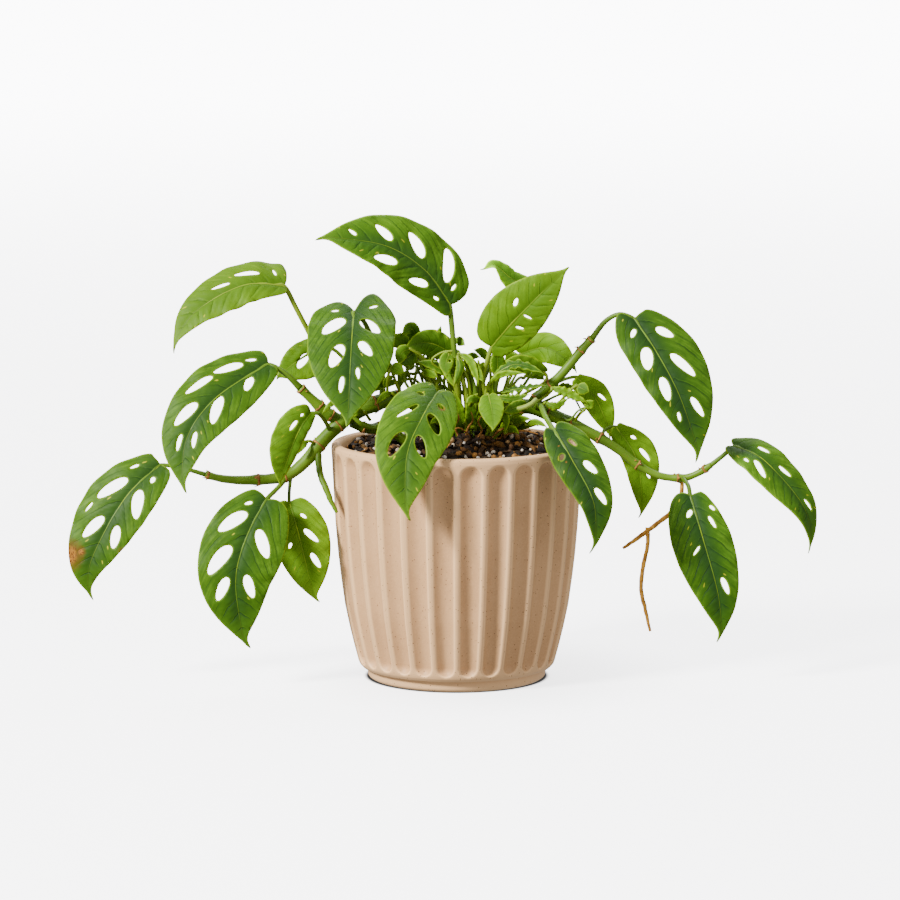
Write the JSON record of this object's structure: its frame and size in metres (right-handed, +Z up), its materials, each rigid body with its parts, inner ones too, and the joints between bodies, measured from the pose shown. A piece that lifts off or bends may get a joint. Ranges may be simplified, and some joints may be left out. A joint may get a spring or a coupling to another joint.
{
  "type": "monstera adansonii",
  "caption": "Potted climbing house plant with oval holed leaves on arching and trailing stems, in a tapering fluted stoneware pot filled with bark soil.",
  "frame": {"origin": "middle of the pot's flat underside", "axes": "+Z up; the trailing stems run out along -X and +X; -Y is the side the picture shows"},
  "size_m": [0.4732, 0.1793, 0.2974],
  "materials": {
    "pot": "satin stoneware, beige with fine brown specks",
    "soil": "rough bark chips, stones and white grains",
    "stem": "smooth green stem with brown papery rings",
    "leaf": "satin, grown leaf, deep green",
    "young_leaf": "satin, young leaf, yellow green",
    "root": "dry brown hanging root"
  },
  "bodies": {
    "root": {"pot": "pot", "soil": "soil", "crown": "stem", "vine_left": "stem", "vine_right": "stem", "leaf_behind_heart": "young_leaf", "leaf_curled": "leaf", "leaf_far_left": "leaf", "leaf_far_right": "leaf", "leaf_front": "leaf", "leaf_front_right": "leaf", "leaf_heart": "leaf", "leaf_left": "leaf", "leaf_lime": "young_leaf", "leaf_lower_left": "leaf", "leaf_lower_right": "leaf", "leaf_mid_right": "young_leaf", "leaf_pale_right": "young_leaf", "leaf_right": "leaf", "leaf_small_left": "leaf", "leaf_top": "leaf", "leaf_upper_right": "young_leaf", "leaf_yellow_left": "young_leaf", "root_left": "stem", "root_right": "root"}
  },
  "joints": []
}
